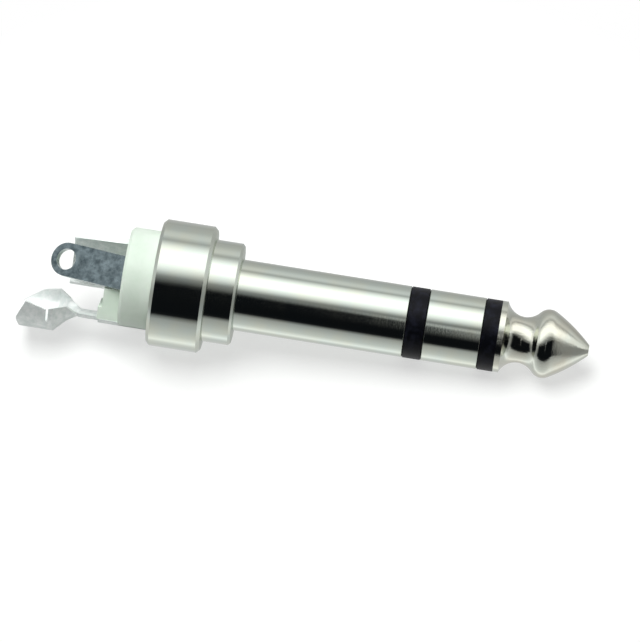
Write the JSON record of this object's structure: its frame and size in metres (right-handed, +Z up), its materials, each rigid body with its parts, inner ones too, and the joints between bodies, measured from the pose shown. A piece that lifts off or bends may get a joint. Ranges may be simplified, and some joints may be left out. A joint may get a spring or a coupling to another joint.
{
  "type": "stereo jack plug",
  "caption": "Round stereo audio plug without its cover: stepped pin with two black insulating bands, flanged collar, white rear moulding and bare solder lugs with a cable clamp.",
  "frame": {"origin": "middle of the resting plug's footprint box, on the surface that it lies on", "axes": "+X runs along the plug towards its tip, which points 4.86 degrees below the level; +Z is up"},
  "size_m": [0.0506, 0.0113, 0.0116],
  "materials": {
    "nickel_plate": "bright nickel plate",
    "lug_plate": "satin nickel plate on stamped sheet",
    "rod_steel": "drawn",
    "black_plastic": "turned smooth with the pin",
    "white_plastic": "moulded satin"
  },
  "bodies": {
    "root": {"tip_head": "nickel_plate", "tip_rod": "rod_steel", "tip_band": "black_plastic", "rod_tube": "black_plastic", "ring_contact": "nickel_plate", "ring_band": "black_plastic", "sleeve_tube": "black_plastic", "sleeve_body": "nickel_plate", "ground_lug": "lug_plate", "ring_lug": "lug_plate", "tip_lug": "lug_plate", "rear_moulding": "white_plastic"}
  },
  "joints": []
}
